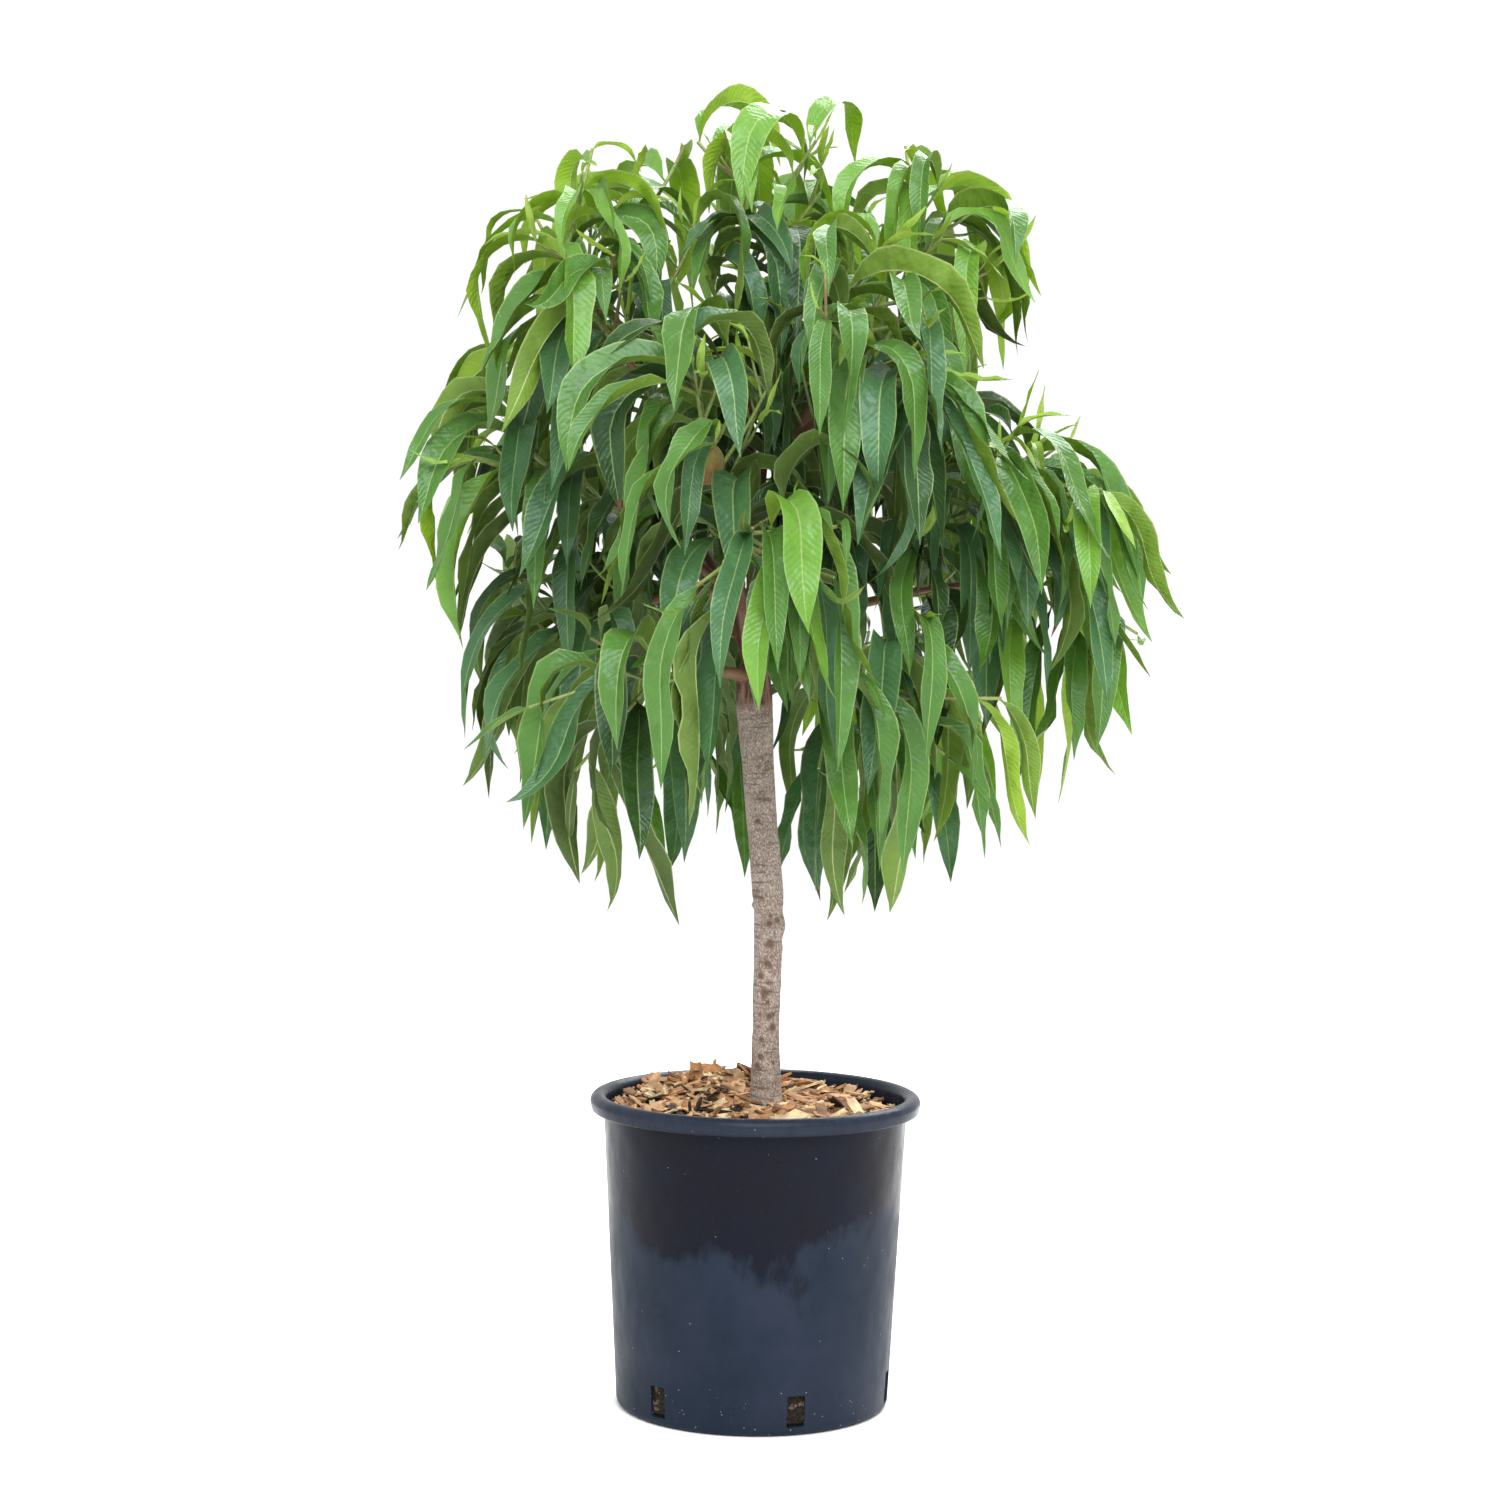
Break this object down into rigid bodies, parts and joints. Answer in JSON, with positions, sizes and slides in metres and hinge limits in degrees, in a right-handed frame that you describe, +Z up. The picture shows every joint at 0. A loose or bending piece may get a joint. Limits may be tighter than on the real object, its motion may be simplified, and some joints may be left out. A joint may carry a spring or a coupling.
{
  "type": "potted dwarf peach tree",
  "caption": "Dwarf peach tree: a dense dome of long weeping leaves on a short clear trunk, standing in a round nursery pot topped with wood chips.",
  "frame": {"origin": "centre of the pot's flat underside, on the ground", "axes": "+Z up along the trunk, -Y towards the front of the plant, +X to its right as seen from the front"},
  "size_m": [0.7559, 0.7177, 1.2993],
  "materials": {
    "pot_plastic": "moulded black plastic with a soft sheen, blue-grey where it is dusty",
    "potting_mix": "damp dark brown bark compost",
    "wood_chips": "dry chipped wood, tan to orange-brown",
    "bark": "grey-brown bark with small dark scars",
    "young_bark": "smooth red-brown bark of young boughs",
    "foliage": "leaves with a waxy sheen above and a dull paler underside"
  },
  "bodies": {
    "root": {"nursery_pot": "pot_plastic", "potting_mix": "potting_mix", "wood_chips": "wood_chips", "trunk": "bark", "bough_top": "young_bark", "bough_upper_right": "young_bark", "bough_upper_left": "young_bark", "bough_upper_back": "young_bark", "bough_shoulder": "young_bark", "bough_front": "young_bark", "bough_front_low": "young_bark", "bough_front_right": "young_bark", "bough_right": "young_bark", "bough_left": "young_bark", "bough_far_right": "young_bark", "bough_far_left": "young_bark", "bough_lower_left": "young_bark", "bough_lower_right": "young_bark", "bough_back_right": "young_bark", "bough_back_left": "young_bark", "bough_low_back_left": "young_bark", "bough_low_back_right": "young_bark", "foliage_top": "foliage", "foliage_upper_right": "foliage", "foliage_upper_left": "foliage", "foliage_upper_back": "foliage", "foliage_shoulder": "foliage", "foliage_front": "foliage", "foliage_front_low": "foliage", "foliage_front_right": "foliage", "foliage_right": "foliage", "foliage_left": "foliage", "foliage_far_right": "foliage", "foliage_far_left": "foliage", "foliage_lower_left": "foliage", "foliage_lower_right": "foliage", "foliage_back_right": "foliage", "foliage_back_left": "foliage", "foliage_low_back_left": "foliage", "foliage_low_back_right": "foliage"}
  },
  "joints": []
}
